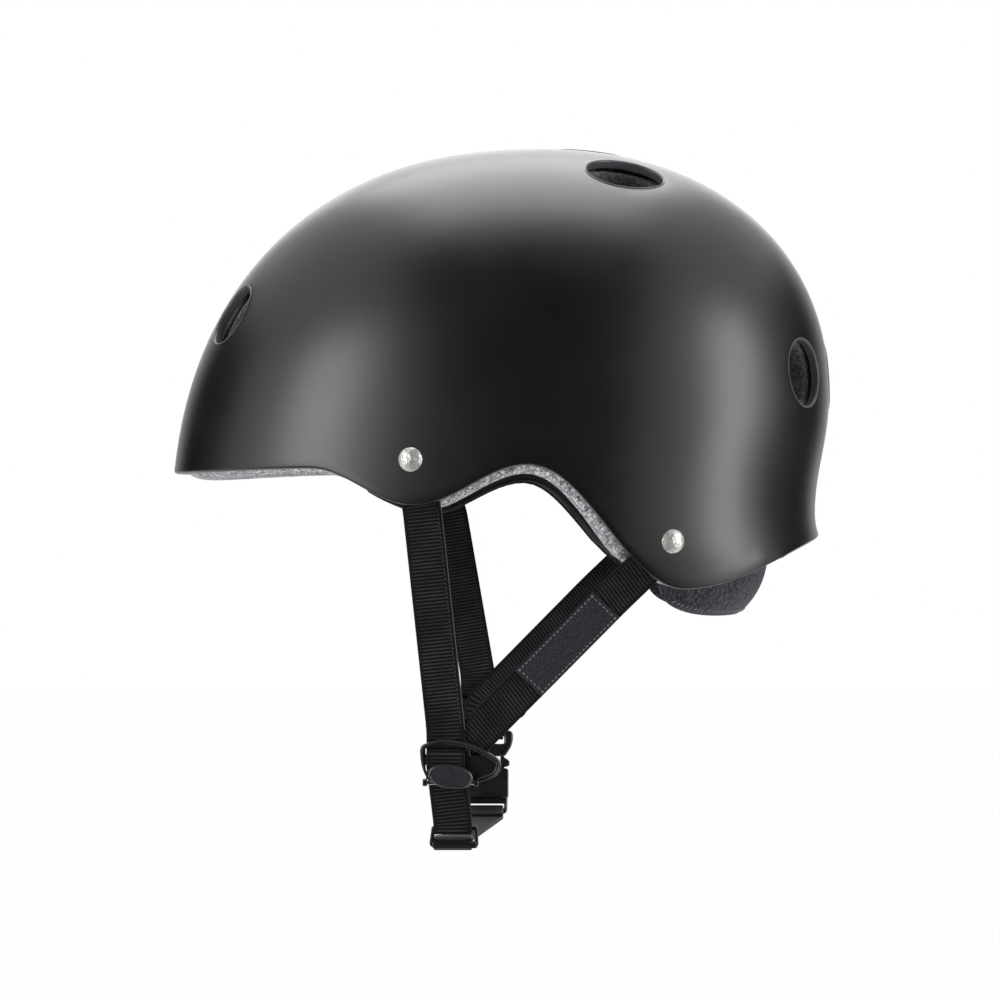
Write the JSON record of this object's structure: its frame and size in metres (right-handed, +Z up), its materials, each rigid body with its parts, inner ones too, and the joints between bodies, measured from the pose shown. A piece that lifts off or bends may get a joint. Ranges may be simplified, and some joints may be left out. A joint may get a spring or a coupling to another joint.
{
  "type": "water sports helmet",
  "caption": "Open-ear water helmet: moulded shell with round vents, foam liner, comfort pads, riveted strap harness with cam-lever dividers and a side-release buckle.",
  "frame": {"origin": "on the symmetry plane at the height of the brow edge, halfway along the shell, in the middle of the head opening", "axes": "+Z up through the crown, -Y the way the wearer faces, +X the wearer's left"},
  "size_m": [0.2248, 0.2856, 0.2993],
  "materials": {
    "shell": "satin moulded ABS, near black",
    "liner_foam": "moulded bead foam, light grey with dark specks",
    "pad_fabric": "brushed nylon pad cover",
    "nape_fabric": "heathered brushed fabric",
    "dots": "hook and loop",
    "rivet_nickel": "bright nickel plate, slightly hammered",
    "washer_steel": "zinc-plated",
    "webbing": "ribbed black webbing",
    "label_fabric": "bare heathered woven patch",
    "hardware": "black acetal, satin",
    "pin_steel": "bright steel"
  },
  "bodies": {
    "helmet": {"outer_shell": "shell", "foam_liner": "liner_foam", "brow_pad": "pad_fabric", "crown_pad": "pad_fabric", "left_side_pad": "pad_fabric", "right_side_pad": "pad_fabric", "rear_pad": "pad_fabric", "nape_pad": "nape_fabric", "pad_fasteners": "dots", "strap_rivets": "rivet_nickel", "rivet_washers": "washer_steel", "left_webbing": "webbing", "right_webbing": "webbing", "strap_label": "label_fabric", "left_divider_frame": "hardware", "left_lever_pin": "pin_steel", "right_divider_frame": "hardware", "right_lever_pin": "pin_steel", "chin_ring": "hardware", "chin_strap": "webbing", "buckle_plug": "hardware"},
    "left_lever": {"left_divider_lever": "hardware"},
    "right_lever": {"right_divider_lever": "hardware"},
    "buckle_release": {"buckle_socket": "hardware", "chin_strap_end": "webbing"},
    "front_prong": {"buckle_front_prong": "hardware"},
    "rear_prong": {"buckle_rear_prong": "hardware"}
  },
  "joints": [
    {"name": "left_lever_hinge", "type": "hinge", "parent": "helmet", "child": "left_lever", "pos_m": [0.08781, -0.0204, -0.12797], "axis": [0, 1, 0], "range_deg": [0, 75]},
    {"name": "right_lever_hinge", "type": "hinge", "parent": "helmet", "child": "right_lever", "pos_m": [-0.08956, -0.0082, -0.11447], "axis": [0, -1, 0], "range_deg": [0, 75]},
    {"name": "buckle_slide", "type": "slide", "parent": "helmet", "child": "buckle_release", "axis": [0.1288, 0, -0.9917], "range_m": [0, 0.02], "deforming": ["buckle_front_prong", "buckle_rear_prong"]},
    {"name": "front_prong_squeeze", "type": "hinge", "parent": "helmet", "child": "front_prong", "pos_m": [-0.07999, -0.0134, -0.1276], "axis": [0.9917, 0, 0.1288], "range_deg": [0, 6], "stiffness_Nm_per_rad": 0.02},
    {"name": "rear_prong_squeeze", "type": "hinge", "parent": "helmet", "child": "rear_prong", "pos_m": [-0.07999, 0.0004, -0.1276], "axis": [-0.9917, 0, -0.1288], "range_deg": [0, 6], "stiffness_Nm_per_rad": 0.02}
  ]
}
